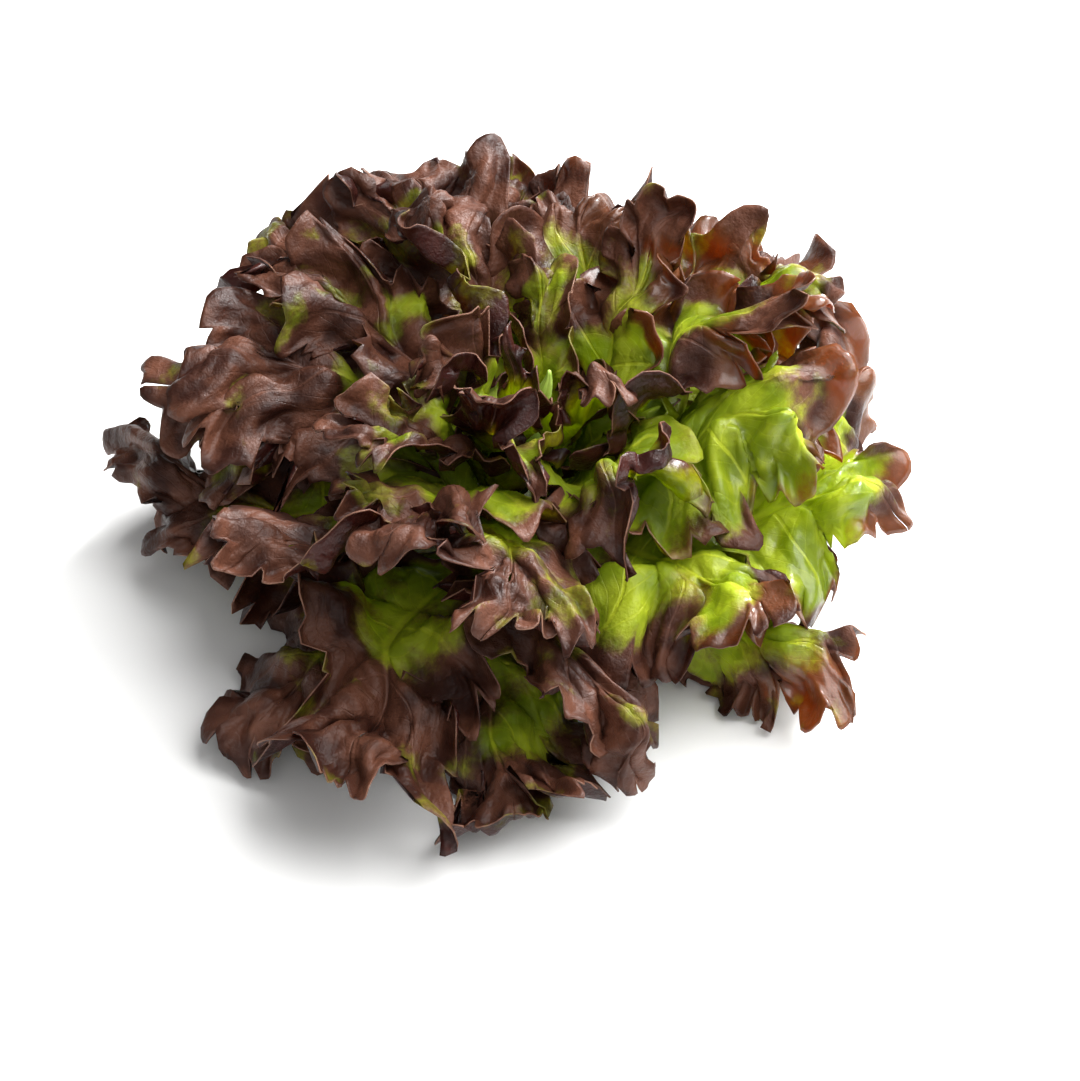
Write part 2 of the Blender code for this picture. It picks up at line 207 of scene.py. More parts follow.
# %% Points of the blade
def leaf_points(leaf, side, u, out):
    """Points of the leaf's middle surface, at the share out of the way along the vein at u."""
    bend = vein_bend(leaf, side, u) * out
    reach = vein_length(leaf, u) * out
    flat = reach * np.sinc(bend / np.pi)
    lift = reach * np.sin(bend / 2) * np.sinc(bend / (2 * np.pi))
    angle = vein_angle(u)
    along = VEINED_SHARE * leaf.length * u + flat * np.cos(angle)
    across = side * flat * np.sin(angle)
    share = along / leaf.length

    place, lobe, over = lobe_place(u)
    grown = smooth(u, 0.12, 0.3)
    swirl = np.where(side < 0, leaf.swirls[0][lobe], leaf.swirls[1][lobe])
    lift = lift + leaf.puff * (1 - over**2) * np.sin(np.pi * out**0.8) * grown
    lift = lift + swirl * 2.6 * over * (1 - over**2) * out**1.5 * grown
    lift = lift + leaf.wave[0] * np.sin(9.0 * share + leaf.wave[1]) * smooth(share, 0.25, 0.8)
    lift = lift + across * math.tan(leaf.bank) * smooth(share, 0.2, 0.9)

    radius = np.interp(along, leaf.arc[0], leaf.arc[1])
    height = np.interp(along, leaf.arc[0], leaf.arc[2])
    lean = np.interp(along, leaf.arc[0], leaf.arc[3])
    turn = leaf.azimuth + across / np.hypot(radius, 6 * MM) + leaf.drift * share**2
    radius = radius - lift * np.cos(lean)
    height = height + lift * np.sin(lean)
    return settled(np.stack([radius * np.cos(turn), radius * np.sin(turn), height], -1))


def pressed(z):
    """Heights with the floor under them: what would sink into it lies along it."""
    room = FLOOR_SOFTNESS - FLOOR_CLEARANCE
    low = FLOOR_CLEARANCE + room * np.exp(np.minimum(z - FLOOR_SOFTNESS, 0.0) / room)
    return np.where(z < FLOOR_SOFTNESS, low, z)


SWAY = 5.0 * MM


def settled(points):
    """The whole head's own sway, and the leaves that reach the floor lying along it."""
    x, y, z = points[..., 0], points[..., 1], points[..., 2]
    away = np.sqrt(x * x + y * y + (z - DOME_CENTRE_Z) ** 2)
    sway = SWAY * smooth(away, 28 * MM, 90 * MM)
    lean = np.maximum(z - DOME_CENTRE_Z - 8 * MM, 0.0) * smooth(away, 20 * MM, 40 * MM)
    x = x + sway * (np.sin(52 * y + 1.3) + 0.5 * np.sin(95 * z + 31 * x)) + HEART_LEAN[0] * lean
    y = y + sway * (np.sin(49 * z + 40 * x + 0.4) + 0.5 * np.sin(88 * x + 2.0)) + HEART_LEAN[1] * lean
    z = z + sway * (np.sin(55 * x + 2.1) * 0.7 + 0.5 * np.sin(80 * y + 0.7))
    ripple = 0.4 * sway
    x, y, z = (
        x + ripple * np.sin(150 * z + 110 * y),
        y + ripple * np.sin(150 * x + 110 * z),
        z + ripple * np.sin(150 * y + 110 * x),
    )
    return np.stack([x, y, pressed(z)], -1)


# %% [markdown]
# ## Laying the leaves without crossings
#
# Forty leaves that are drawn at random would cut through one another. So each leaf is first made
# coarse and closed, with a few hundred faces, and tested against all the others. Sweep after sweep,
# the ones that cross are drawn anew, ever more calmly. Then a few listed lobes are combed down, and
# leaves that still cross another are left out. It is the rule that the solid leaves were laid by,
# with the same seed, so the leaves come out in the same places.

# %% The coarse test leaf
VEIN_PLACES = (0.0, 0.08) + tuple(
    FIRST_SINUS + (1 - FIRST_SINUS) * lobe / LOBES
    for lobe in (0, 0.17, 0.83, 1, 1.17, 1.83, 2, 2.17, 2.83, 3, 3.18, 3.5)
)
VEIN_STEPS = (0.0, 0.32, 0.68, 1.0)


def blade_grid():
    """Side, place and share along the vein of each point, ray after ray round the leaf."""
    sides = [-1.0] * len(VEIN_PLACES) + [1.0] * (len(VEIN_PLACES) - 1)
    places = list(VEIN_PLACES) + list(VEIN_PLACES[-2::-1])
    side = np.repeat(sides, len(VEIN_STEPS))
    u = np.repeat(places, len(VEIN_STEPS))
    return side, u, np.tile(VEIN_STEPS, len(sides))


def blade_triangles():
    """Triangles of the grid, with the midrib's points shared by the two sides."""
    rays, steps = 2 * len(VEIN_PLACES) - 1, len(VEIN_STEPS)

    def point(ray, step):
        ray = min(ray, rays - 1 - ray) if step == 0 else ray
        return ray * steps + step

    found = []
    for ray in range(rays - 1):
        for step in range(steps - 1):
            a, b = point(ray, step), point(ray, step + 1)
            c, d = point(ray + 1, step + 1), point(ray + 1, step)
            if ray < (rays - 1) // 2:
                found += [(a, b, d), (b, c, d)]
            else:
                found += [(a, b, c), (a, c, d)]
    return found


GRID = blade_grid()
TRIANGLES = blade_triangles()
EDGES = [edge for a, b, c in TRIANGLES for edge in ((a, b), (b, c), (c, a))]
RIM = sorted(set(EDGES) - {(b, a) for a, b in EDGES})
COUNT = len(GRID[0])
FACES = TRIANGLES + [(c + COUNT, b + COUNT, a + COUNT) for a, b, c in TRIANGLES]
for a, b in RIM:
    FACES += [(b, a, a + COUNT), (b, a + COUNT, b + COUNT)]
FACE_LOBES = []
for face in FACES:
    outer = max((i % COUNT for i in face), key=lambda i: GRID[2][i])
    FACE_LOBES.append((int(GRID[0][outer] > 0), int(lobe_place(GRID[1])[1][outer])))
print("test leaf", len(FACES), "faces")


# %% Its thickness and its search tree
def point_normals(points):
    """Unit normals of the blade's points."""
    corners = points[np.array(TRIANGLES)]
    across = np.cross(corners[:, 1] - corners[:, 0], corners[:, 2] - corners[:, 0])
    total = np.zeros_like(points)
    for corner in range(3):
        np.add.at(total, np.array(TRIANGLES)[:, corner], across)
    return total / np.maximum(np.linalg.norm(total, axis=1), 1e-12)[:, None]


def shell_points(points, extra=0.0):
    """Points of the closed leaf's upper face and then of its lower one, each moved out by extra."""
    side, u, out = GRID
    rib = (RIB_THICKNESS - BLADE_THICKNESS) * (1 - smooth(u, 0.0, 0.9)) * (1 - smooth(out, 0.0, 0.9))
    half = ((BLADE_THICKNESS + rib) / 2 + extra)[:, None] * point_normals(points)
    return np.concatenate([points + half, points - half])


def shell_tree(points):
    """A search tree of the closed leaf, swollen by half of the room that is kept between leaves."""
    return BVHTree.FromPolygons(shell_points(points, LEAF_CLEARANCE / 2).tolist(), FACES)


# %% Growing a leaf from its traits
MOST_BEND = math.radians(115)


def spiral(rank):
    """Azimuth, length, launch, arch and breadth, in degrees and millimetres, of this rank's leaf."""
    if rank < len(OUTER_LEAVES):
        return (*OUTER_LEAVES[rank], SPIRAL_BREADTH[0])
    turn = rank - len(OUTER_LEAVES)
    share = turn / (LEAF_COUNT - len(OUTER_LEAVES) - 1)
    knots = np.linspace(0, 1, len(SPIRAL_LAUNCH))
    curves = (SPIRAL_LENGTH, SPIRAL_LAUNCH, SPIRAL_ARCH, SPIRAL_BREADTH)
    length, launch, arch, breadth = (float(np.interp(share, knots, values)) for values in curves)
    azimuth = SPIRAL_START + turn * GOLDEN_ANGLE
    length *= 1 + LONGER_BY * math.cos(math.radians(azimuth - LONGEST_AZIMUTH))
    return azimuth, length, launch, arch, breadth


def draw_traits(random):
    """Every trait of a leaf as a number between -1 and 1, and its size as a share of full size."""
    return {
        "set": random.uniform(-1, 1, 4),
        "spine": random.uniform(-1, 1, 5),
        "bends": random.uniform(-1, 1, (2, 5)),
        "swirls": random.uniform(-1, 1, (2, 4)),
        "size": np.ones(1),
    }


def grow(rank, traits):
    """The leaf of this rank with these traits."""
    azimuth, length, launch, arch, breadth = spiral(rank)
    turn, grow_on, lean, over = traits["set"]
    azimuth += turn * mix(4, 12, smooth(rank, 0, len(OUTER_LEAVES)))
    length *= (1 + 0.06 * grow_on) * traits["size"][0]
    launch += 1.5 * lean
    arch += 8.0 * over
    leaf = Leaf(math.radians(azimuth), math.radians(launch), math.radians(arch), length * MM, breadth)
    size = length / USUAL_LENGTH
    wave, phase, bank, drift, puff = traits["spine"]
    liveliness = np.array([0.1, 0.4, 0.8, 1.0, 1.0]) * MOST_BEND
    leaf.bends = (traits["bends"] - 0.3) * liveliness
    leaf.bends[1, 4] = leaf.bends[0, 4]
    leaf.swirls = traits["swirls"] * 8.0 * MM * size
    leaf.swirls[1, 3] = leaf.swirls[0, 3]
    leaf.wave = (6.0 * wave * MM * size, math.pi * phase)
    leaf.bank = 0.35 * bank
    leaf.drift = 0.25 * drift
    leaf.puff = (3.5 + 2.5 * puff) * MM * size
    return leaf


# %% The search
SEED = 9
SWEEPS = 80
TRIES = 5

# Lobes that stood up out of the head and were combed down after the search: the leaf's
# rank, its side, the place of the lobe in its bends, and the new bend
COMBED = (
    (28, 0, 3, -0.3),
    (7, 0, 4, -0.5),
    (7, 1, 4, -0.5),
    (17, 1, 3, -0.6),
    (30, 1, 3, 0.3),
    (30, 0, 4, -1.0),
    (30, 1, 4, -1.0),
)


def redraw(rank, traits, lobes, calm, random):
    """The traits with one of them drawn anew, mostly that of a lobe which crosses another leaf."""
    new = {name: values.copy() for name, values in traits.items()}
    crowding = smooth(rank, 12, 22) * smooth(calm, 0.5, 1.0)
    new["size"][0] = min(traits["size"][0], 1 - 0.3 * crowding)
    reach = 1 - 0.9 * calm
    if random.uniform() < 0.6:
        side, lobe = lobes[random.integers(len(lobes))]
        new["bends"][side, lobe + 1] = mix(0.3, random.uniform(-1, 1), reach)
        new["swirls"][side, lobe] = random.uniform(-1, 1) * reach
    elif random.uniform() < 0.4:
        new["set"][random.integers(4)] = random.uniform(-1, 1)
    else:
        new["spine"][random.integers(5)] = random.uniform(-1, 1) * reach
    return new


def combed(rank, leaf):
    """The leaf, with any of its lobes that are combed down in the list."""
    for which, side, lobe, bend in COMBED:
        if which == rank:
            leaf.bends[side, lobe] = bend
    return leaf


def crossings(tree, others):
    """How many pairs of triangles cross, and the sides and lobes of the leaf that they are on."""
    count, lobes = 0, set()
    for other in others:
        for own, _ in tree.overlap(other):
            count += 1
            lobes.add(FACE_LOBES[own])
    return count, sorted(lobes)


def lay_leaves(fixed):
    """The leaves with their ranks, redrawn and combed, without those that still cross."""
    random = np.random.default_rng(SEED)
    traits = [draw_traits(random) for rank in range(LEAF_COUNT)]
    trees = [shell_tree(leaf_points(grow(rank, own), *GRID)) for rank, own in enumerate(traits)]
    for sweep in range(SWEEPS):
        total = 0
        for rank in range(LEAF_COUNT):
            others = trees[:rank] + trees[rank + 1 :] + fixed
            count, lobes = crossings(trees[rank], others)
            for attempt in range(TRIES if count else 0):
                trial = redraw(rank, traits[rank], lobes, sweep / SWEEPS, random)
                tree = shell_tree(leaf_points(grow(rank, trial), *GRID))
                trial_count, trial_lobes = crossings(tree, others)
                if trial_count <= count:
                    traits[rank], trees[rank], count, lobes = trial, tree, trial_count, trial_lobes
                if not count:
                    break
            total += count
        if not total:
            break
    print("laid in", sweep + 1, "sweeps, crossings left", total)
    leaves = [combed(rank, grow(rank, own)) for rank, own in enumerate(traits)]
    trees = [shell_tree(leaf_points(leaf, *GRID)) for leaf in leaves]
    laid = []
    for rank, leaf in enumerate(leaves):
        others = [trees[other] for other, _ in laid] + trees[rank + 1 :] + fixed
        if not crossings(trees[rank], others)[0]:
            laid.append((rank, leaf))
    return laid


# %% [markdown]
# The search also has to keep clear of the stem and of the bud in the heart. Their solids come with
# the frame, as loose triangles.

# %% Lay them
def node_tree(name):
    """A search tree of a solid of the frame."""
    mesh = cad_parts[name].data
    return BVHTree.FromPolygons(
        [vertex.co for vertex in mesh.vertices], [tuple(face.vertices) for face in mesh.polygons]
    )


def leaf_names(ranks):
    """Each leaf's zone of the head, and its number there from the outside inwards."""
    outer, middle = len(OUTER_LEAVES), (len(OUTER_LEAVES) + LEAF_COUNT) // 2
    zones = ["outer" if rank < outer else "middle" if rank < middle else "inner" for rank in ranks]
    return [f"{zone}_leaf_{zones[:i].count(zone) + 1:02d}" for i, zone in enumerate(zones)]


leaves = lay_leaves([node_tree("stem"), node_tree("heart")])
names = leaf_names([rank for rank, leaf in leaves])
apart = 0.0
for node, (rank, leaf) in zip(names, leaves):
    corners = shell_points(leaf_points(leaf, *GRID))
    low, high = (np.array(corner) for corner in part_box(node))
    apart = max(apart, abs(corners.min(0) - low).max(), abs(corners.max(0) - high).max())
print("leaves differ from their solids by at most", round(apart / MM, 3), "mm")

# %% [markdown]
# ## Fine blades
#
# A blade is a grid: from the left margin over the midrib to the right margin, and from the root to
# the tip. Every vertex knows its vein and its share of the way along it, so the formula above
# moves it into place. A fine blade can be fuller and cut deeper than a coarse solid. The crinkled
# surface is added along the normals: blisters between the veins, and a ruffled margin whose waves
# grow towards the edge, which tucks under. Bays and narrow notches are let into the margin.

# %% The grid of a blade
ACROSS = 26  # squares from the midrib to a margin
ALONG = 90  # squares from the root to the tip
TIP_CROWDING = 1.5  # over 1, the rows lie closer together towards the tip
FULLER = 3.5 * MM
DEEPER = 0.16
for rank, leaf in leaves:
    leaf.puff += FULLER * leaf.length / (USUAL_LENGTH * MM)
    leaf.sinus += DEEPER


def flat_place(leaf, u, v):
    """Where the point would lie on a leaf pressed flat: metres across and along."""
    reach = vein_length(leaf, u) * np.abs(v)
    angle = vein_angle(u)
    across = np.sign(v) * reach * np.sin(angle)
    return across, VEINED_SHARE * leaf.length * u + reach * np.cos(angle)


MARGIN_STEPS = 400


def margin_place(leaf, u, v):
    """How far along the margin the vein ends, counted from the tip, negative on the left."""
    rows = 1 - (1 - np.linspace(0, 1, MARGIN_STEPS)) ** TIP_CROWDING
    x, y = flat_place(leaf, rows, np.ones(MARGIN_STEPS))
    run = np.concatenate([[0.0], np.cumsum(np.hypot(np.diff(x), np.diff(y)))])
    return np.sign(v) * (run[-1] - np.interp(u, rows, run))


def speckle(seed, scale, *places):
    """Smooth noise between about -1 and 1, with lumps of the size scale."""
    places = [np.asarray(place) / scale for place in places]
    seed_place = np.full(len(places[0]), 7.3 * seed)
    places += [seed_place] * (3 - len(places))
    return np.array([noise.noise(Vector(place)) for place in zip(*places)]) * 1.4


# %% Crinkles, each a size of lump and a height
BLISTER = (12 * MM, 3.2 * MM)
WRINKLE = (6 * MM, 1.9 * MM)
RUFFLE = (16 * MM, 8.0 * MM)
FRILL = (8 * MM, 3.4 * MM)
TUCK = 6.0 * MM


def crinkle(rank, leaf, u, v):
    """How far each point stands out of the smooth blade."""
    x, y = flat_place(leaf, u, v)
    margin = margin_place(leaf, u, v)
    out = np.abs(v)
    size = leaf.length / (USUAL_LENGTH * MM)
    blister = speckle(rank, BLISTER[0], x, y) * BLISTER[1]
    blister = blister + np.abs(speckle(rank + 50, WRINKLE[0], x, y)) * WRINKLE[1]
    blister = blister * smooth(out, 0.0, 0.18)
    ruffle = speckle(rank + 100, RUFFLE[0], margin, out * 14 * MM) * RUFFLE[1]
    ruffle = ruffle + speckle(rank + 150, FRILL[0], margin, out * 9 * MM) * FRILL[1]
    ruffle = ruffle * smooth(out, 0.25, 1.0)
    tucked = -TUCK * smooth(out, 0.72, 1.0) ** 2
    return size * smooth(u, 0.1, 0.3) * (blister + ruffle + tucked)


def nibbled(rank, leaf, u, v):
    """The share along the vein, with bays and narrow notches let into the margin."""
    margin = margin_place(leaf, u, v)
    bays = speckle(rank + 300, 11 * MM, margin) * 0.14
    bays = bays + speckle(rank + 350, 4.5 * MM, margin) * 0.05
    notches = smooth(np.abs(speckle(rank + 400, 13 * MM, margin)), 0.0, 0.2) - 1
    near_margin = smooth(np.abs(v), 0.4, 1.0) * smooth(u, 0.15, 0.3)
    return v * (1 + (bays + 0.2 * notches) * near_margin)


# %% [markdown]
# Two tints are kept on the vertices. The red pigment grows with light: towards the tip and the
# margin, in patches, more on the left of this head than on the right, and hardly at all where the
# leaves at the right lay in one another's shade. The glow tells where a low light from behind shines
# through leaves on the right. There an amber glow is also painted into the leaf's colour.

# %% Where the leaf is red, and where it glows
SHADED_PLACE = np.array([0.088, -0.015, 0.06])
SHADED_SIZE = np.array([0.042, 0.052, 0.05])


def redness(rank, leaf, u, v, points):
    """0 where the leaf stayed green and 1 where it is dark red."""
    x, y = flat_place(leaf, u, v)
    share, out = y / leaf.length, np.abs(v)
    patches = speckle(rank + 200, 26 * MM, x, y) * 0.32
    patches = patches + speckle(rank + 250, 9 * MM, x, y) * 0.10
    shaded = np.exp(-np.sum(((points - SHADED_PLACE) / SHADED_SIZE) ** 2, -1))
    heart = smooth(rank, LEAF_COUNT - 9, LEAF_COUNT)
    grown = 0.95 * share + 0.2 * out + 0.3 * smooth(out, 0.65, 1.0)
    grown = grown + 0.12 * (1 - smooth(points[:, 0], -0.02, 0.06))
    return smooth(grown + patches - 0.8 * shaded - 0.12 * heart, 0.34, 0.90)


def glow(points):
    """1 on the side that the low back light shines through, where the red is thin; an amber glow is
    painted there.
    """
    side = smooth(points[:, 0] + 0.25 * points[:, 1], 0.020, 0.085)
    return side * smooth(speckle(500, 17 * MM, *points.T), -0.2, 0.35)


# %% [markdown]
# The grid's row at the tip is folded double, because the veins there close onto the midrib, so its
# points are merged. Solidify gives the blade its thickness, and gives its underside and its cut
# edge materials of their own.

# %% Build a blade
FINE_THICKNESS = 0.5 * MM


def bend_grid(rank, leaf, bm):
    """Moves the square grid into the leaf's place, crinkles it, and keeps its tints."""
    corners = np.array([vertex.co for vertex in bm.verts])
    u = 1 - (1 - (corners[:, 1] + 1) / 2) ** TIP_CROWDING
    v = corners[:, 0]
    points = leaf_points(leaf, np.where(v < 0, -1.0, 1.0), u, np.abs(nibbled(rank, leaf, u, v)))
    uv = bm.loops.layers.uv.new("blade")
    place = lobe_place(u)[0]
    for face in bm.faces:
        for loop in face.loops:
            loop[uv].uv = (place[loop.vert.index], v[loop.vert.index])
    for vertex, point in zip(bm.verts, points):
        vertex.co = point
    bm.normal_update()
    normals = np.array([vertex.normal for vertex in bm.verts])
    proud = points + normals * crinkle(rank, leaf, u, v)[:, None]
    proud[:, 2] = np.maximum(pressed(proud[:, 2]), FINE_THICKNESS)
    red = bm.verts.layers.float.new("red")
    lit = bm.verts.layers.float.new("glow")
    tints = zip(redness(rank, leaf, u, v, points), glow(points))
    for vertex, point, (redder, brighter) in zip(bm.verts, proud, tints):
        vertex.co = point
        vertex[red] = redder
        vertex[lit] = brighter


def blade_piece(rank, leaf, name):
    """The leaf's fine blade as an object: material 0 above, 1 below and 2 on the cut edge."""
    bm = bmesh.new()
    bmesh.ops.create_grid(bm, x_segments=2 * ACROSS, y_segments=ALONG, size=1.0)
    bm.verts.index_update()
    bend_grid(rank, leaf, bm)
    bmesh.ops.remove_doubles(bm, verts=bm.verts, dist=0.02 * MM)
    mesh = bpy.data.meshes.new(name)
    bm.to_mesh(mesh)
    bm.free()
    mesh.shade_smooth()
    piece = bpy.data.objects.new(name, mesh)
    bpy.context.scene.collection.objects.link(piece)
    wall = piece.modifiers.new("blade", "SOLIDIFY")
    wall.thickness = FINE_THICKNESS
    wall.offset = 0.0
    wall.material_offset = 1
    wall.material_offset_rim = 2
    return piece


# %% [markdown]
# ## Shader maths
#
# A leaf's finish is made of masks, such as how red it is or how near a vein, and masks are sums and
# products. A small class lets Python's own operators add the Math nodes.

# %% Numbers that change over a surface
class Number:
    """A socket's number, with Python's arithmetic."""

    def __init__(self, finish, socket):
        self.finish = finish
        self.socket = socket

    def math(self, operation, *others):
        sockets = dict(enumerate((self, *others)))
        node = self.finish.node("ShaderNodeMath", {"operation": operation}, sockets)
        return Number(self.finish, node.outputs[0])

    def __add__(self, other):
        return self.math("ADD", other)

    __radd__ = __add__

    def __mul__(self, other):
        return self.math("MULTIPLY", other)

    __rmul__ = __mul__

    def __sub__(self, other):
        return self.math("SUBTRACT", other)

    def __rsub__(self, other):
        return self * -1.0 + other

    def __abs__(self):
        return self.math("ABSOLUTE")

    def rise(self, low, high):
        """0 below low, 1 above high, and an S-shaped rise between them."""
        sockets = {"Value": self, "From Min": low, "From Max": high}
        node = self.finish.node("ShaderNodeMapRange", {"interpolation_type": "SMOOTHSTEP"}, sockets)
        return Number(self.finish, node.outputs[0])


# %% A finish
class Finish:
    """A material that is put together node by node."""

    def __init__(self, name):
        self.material = bpy.data.materials.new(name)
        self.material.use_nodes = True
        self.tree = self.material.node_tree
        self.tree.nodes.clear()
        self.output = self.node("ShaderNodeOutputMaterial")

    def node(self, kind, settings=None, sockets=None):
        """A node with its settings made first, and then a value or a link for each socket."""
        made = self.tree.nodes.new(kind)
        for name, value in (settings or {}).items():
            setattr(made, name, value)
        for name, value in (sockets or {}).items():
            value = value.socket if isinstance(value, Number) else value
            if isinstance(value, bpy.types.NodeSocket):
                self.tree.links.new(value, made.inputs[name])
            else:
                made.inputs[name].default_value = value
        return made

    def number(self, kind, output, settings=None, sockets=None):
        return Number(self, self.node(kind, settings, sockets).outputs[output])

    def blend(self, first, last, share):
        """A colour between two colours. A Mix node's colours are its inputs 6 and 7."""
        first, last = ((*c, 1.0) if isinstance(c, tuple) else c for c in (first, last))
        sockets = {0: share, 6: first, 7: last}
        return self.node("ShaderNodeMix", {"data_type": "RGBA"}, sockets).outputs[2]

    def wear(self, shader):
        self.tree.links.new(shader, self.output.inputs["Surface"])
        return self.material


# %% [markdown]
# ## The leaf's finishes
#
# A lettuce leaf is thin and wet inside, so much of the light that falls on it goes through and
# comes out yellow-green, or orange-brown where the red pigment filters it. That is a Translucent
# shader, mixed under a glossy skin. The underside is duller and paler, and the edge is a light
# line. Olive patches break up the red, and veins are paler. The glowing side is wetter and lets more
# light through, and a painted amber glow is mixed into its red there.

# %% Masks of a leaf
def leaf_masks(finish):
    """How red the leaf is, how much it glows, and how near to a vein it is."""
    red = finish.number("ShaderNodeAttribute", "Fac", {"attribute_name": "red"})
    lit = finish.number("ShaderNodeAttribute", "Fac", {"attribute_name": "glow"})
    uv = finish.node("ShaderNodeUVMap", {"uv_map": "blade"}).outputs[0]
    parts = finish.node("ShaderNodeSeparateXYZ", None, {0: uv})
    place, across = Number(finish, parts.outputs[0]), Number(finish, parts.outputs[1])
    out = abs(across)
    centred = (place.math("FRACT") * 2 - 1).math("ABSOLUTE")
    midrib = 1 - out.rise(0.015, 0.06)
    lobe_vein = (1 - centred.rise(0.02, 0.07)) * (1 - out.rise(0.55, 1.0))
    herringbone = (out * 6.0 + centred * 2.2).math("FRACT") * 2 - 1
    side_vein = (1 - abs(herringbone).rise(0.03, 0.12)) * (1 - out.rise(0.6, 1.0))
    vein = midrib.math("MAXIMUM", lobe_vein * 0.8).math("MAXIMUM", side_vein * 0.35)
    return red, lit, vein


def object_noise(finish, scale, detail=3.0, roughness=0.55):
    """Noise from 0 to 1, with so many lumps to the metre."""
    place = finish.node("ShaderNodeTexCoord").outputs["Object"]
    sockets = {"Vector": place, "Scale": scale, "Detail": detail, "Roughness": roughness}
    return finish.number("ShaderNodeTexNoise", "Fac", None, sockets)


def vein_net(finish, scale):
    """1 on the fine net of veins, and 0 in the blisters between them."""
    place = finish.node("ShaderNodeTexCoord").outputs["Object"]
    settings, sockets = {"feature": "DISTANCE_TO_EDGE"}, {"Vector": place, "Scale": scale}
    cell = finish.number("ShaderNodeTexVoronoi", "Distance", settings, sockets)
    return 1 - cell.rise(0.0, 0.28)


# %% Mix the leaf's skin with the light that comes through
TAN = (0.20, 0.09, 0.06)
# Amber that is mixed into the red where the back light shines through: a painted glow
PAINTED_GLOW_AMBER = (0.20, 0.065, 0.006)
THROUGH_GREEN = (0.74, 0.90, 0.02, 1)
THROUGH_RED = (0.95, 0.30, 0.02, 1)


def leaf_finish(name, dark, mauve, green, lime, rough, through):
    """A leaf's finish, with its two reds, its two greens, and the share of light let through."""
    finish = Finish(name)
    red, lit, vein = leaf_masks(finish)
    blotch = object_noise(finish, 60.0, 2.0).rise(0.35, 0.65)
    fine = object_noise(finish, 420.0, 3.0, 0.6)
    net = vein_net(finish, 190.0)
    # Where the glow mask is high, amber is mixed into the red as a painted glow
    reds = finish.blend(finish.blend(dark, mauve, blotch), PAINTED_GLOW_AMBER, lit * 0.4)
    greens = finish.blend(green, lime, (blotch * 0.6 + vein * 0.5).rise(0.0, 1.0))
    olive = object_noise(finish, 36.0, 2.0).rise(0.52, 0.68)
    mottled = (red + (fine - 0.5) * 0.45 - olive * 0.42).rise(0.15, 0.85)
    colour = finish.blend(greens, reds, mottled)
    pale = finish.blend(lime, TAN, mottled)
    veined = vein.math("MAXIMUM", net * 0.15) * (0.6 - mottled * 0.35)
    colour = finish.blend(colour, pale, veined)
    height = fine * 0.3 + vein * -0.4 + object_noise(finish, 150.0, 4.0, 0.62) * 1.7
    relief = {"Strength": 0.85, "Distance": 1.1 * MM, "Height": height}
    bump = finish.node("ShaderNodeBump", None, relief).outputs[0]
    skin = finish.node(
        "ShaderNodeBsdfPrincipled",
        None,
        {
            "Base Color": colour,
            "Roughness": rough + fine * 0.15 + mottled * 0.06,
            "Specular IOR Level": 0.23,
            "Coat Weight": lit * 0.8,
            "Coat Roughness": 0.22,
            "Normal": bump,
        },
    )
    green_light = finish.node("ShaderNodeBsdfTranslucent", None, {"Color": THROUGH_GREEN})
    red_light = finish.node("ShaderNodeBsdfTranslucent", None, {"Color": THROUGH_RED})
    lights = {0: mottled, 1: green_light.outputs[0], 2: red_light.outputs[0]}
    light = finish.node("ShaderNodeMixShader", None, lights)
    share = through * (1 - mottled * (0.80 + blotch * 0.19) * (1 - lit * 0.6))
    layers = {0: share, 1: skin.outputs[0], 2: light.outputs[0]}
    return finish.wear(finish.node("ShaderNodeMixShader", None, layers).outputs[0])


leaf_upper = leaf_finish(
    "leaf_upper",
    dark=(0.008, 0.0012, 0.0008),
    mauve=(0.037, 0.0075, 0.0055),
    green=(0.095, 0.12, 0.001),
    lime=(0.46, 0.46, 0.004),
    rough=0.20,
    through=0.36,
)
leaf_under = leaf_finish(
    "leaf_under",
    dark=(0.024, 0.0065, 0.0035),
    mauve=(0.10, 0.036, 0.020),
    green=(0.16, 0.22, 0.008),
    lime=(0.48, 0.54, 0.03),
    rough=0.34,
    through=0.38,
)
leaf_edge = leaf_finish(
    "leaf_edge",
    dark=(0.09, 0.036, 0.024),
    mauve=(0.20, 0.10, 0.065),
    green=(0.36, 0.46, 0.05),
    lime=(0.6, 0.7, 0.15),
    rough=0.4,
    through=0.35,
)

# %% [markdown]
# ## Dress every leaf

# %% Replace the solid leaves
triangles = 0
for node, (rank, leaf) in zip(names, leaves):
    piece = blade_piece(rank, leaf, "fine_" + node)
    for finish in (leaf_upper, leaf_under, leaf_edge):
        piece.data.materials.append(finish)
    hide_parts(node)
    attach(piece, "root")
    triangles += 4 * len(piece.data.polygons)
print(len(leaves), "blades,", triangles, "triangles")


# %% [markdown]
# ## Stem and heart
#
# The stem is turned: a profile spun once round. Its cut face is flat and pale. The heart is a bud
# of unopened leaves: a spindle with folds, which sways like the leaves round it.

# %% Stem
def plain_finish(name, light, dark, rough):
    """Two shades of one colour in a grain, on a slightly uneven skin."""
    finish = Finish(name)
    shade = finish.blend(light, dark, object_noise(finish, 90.0).rise(0.3, 0.7))
    relief = {"Strength": 0.4, "Distance": 0.6 * MM, "Height": object_noise(finish, 260.0)}
    bump = finish.node("ShaderNodeBump", None, relief).outputs[0]
    sockets = {"Base Color": shade, "Roughness": rough, "Normal": bump}
    return finish.wear(finish.node("ShaderNodeBsdfPrincipled", None, sockets).outputs[0])


def finish_object(name, bm, finish):
    """The mesh as a smooth object in the scene, with its finish."""
    mesh = bpy.data.meshes.new(name)
    bm.to_mesh(mesh)
    bm.free()
    mesh.shade_smooth()
    mesh.materials.append(finish)
    piece = bpy.data.objects.new(name, mesh)
    bpy.context.scene.collection.objects.link(piece)
    return piece


DOME_STEPS = 24


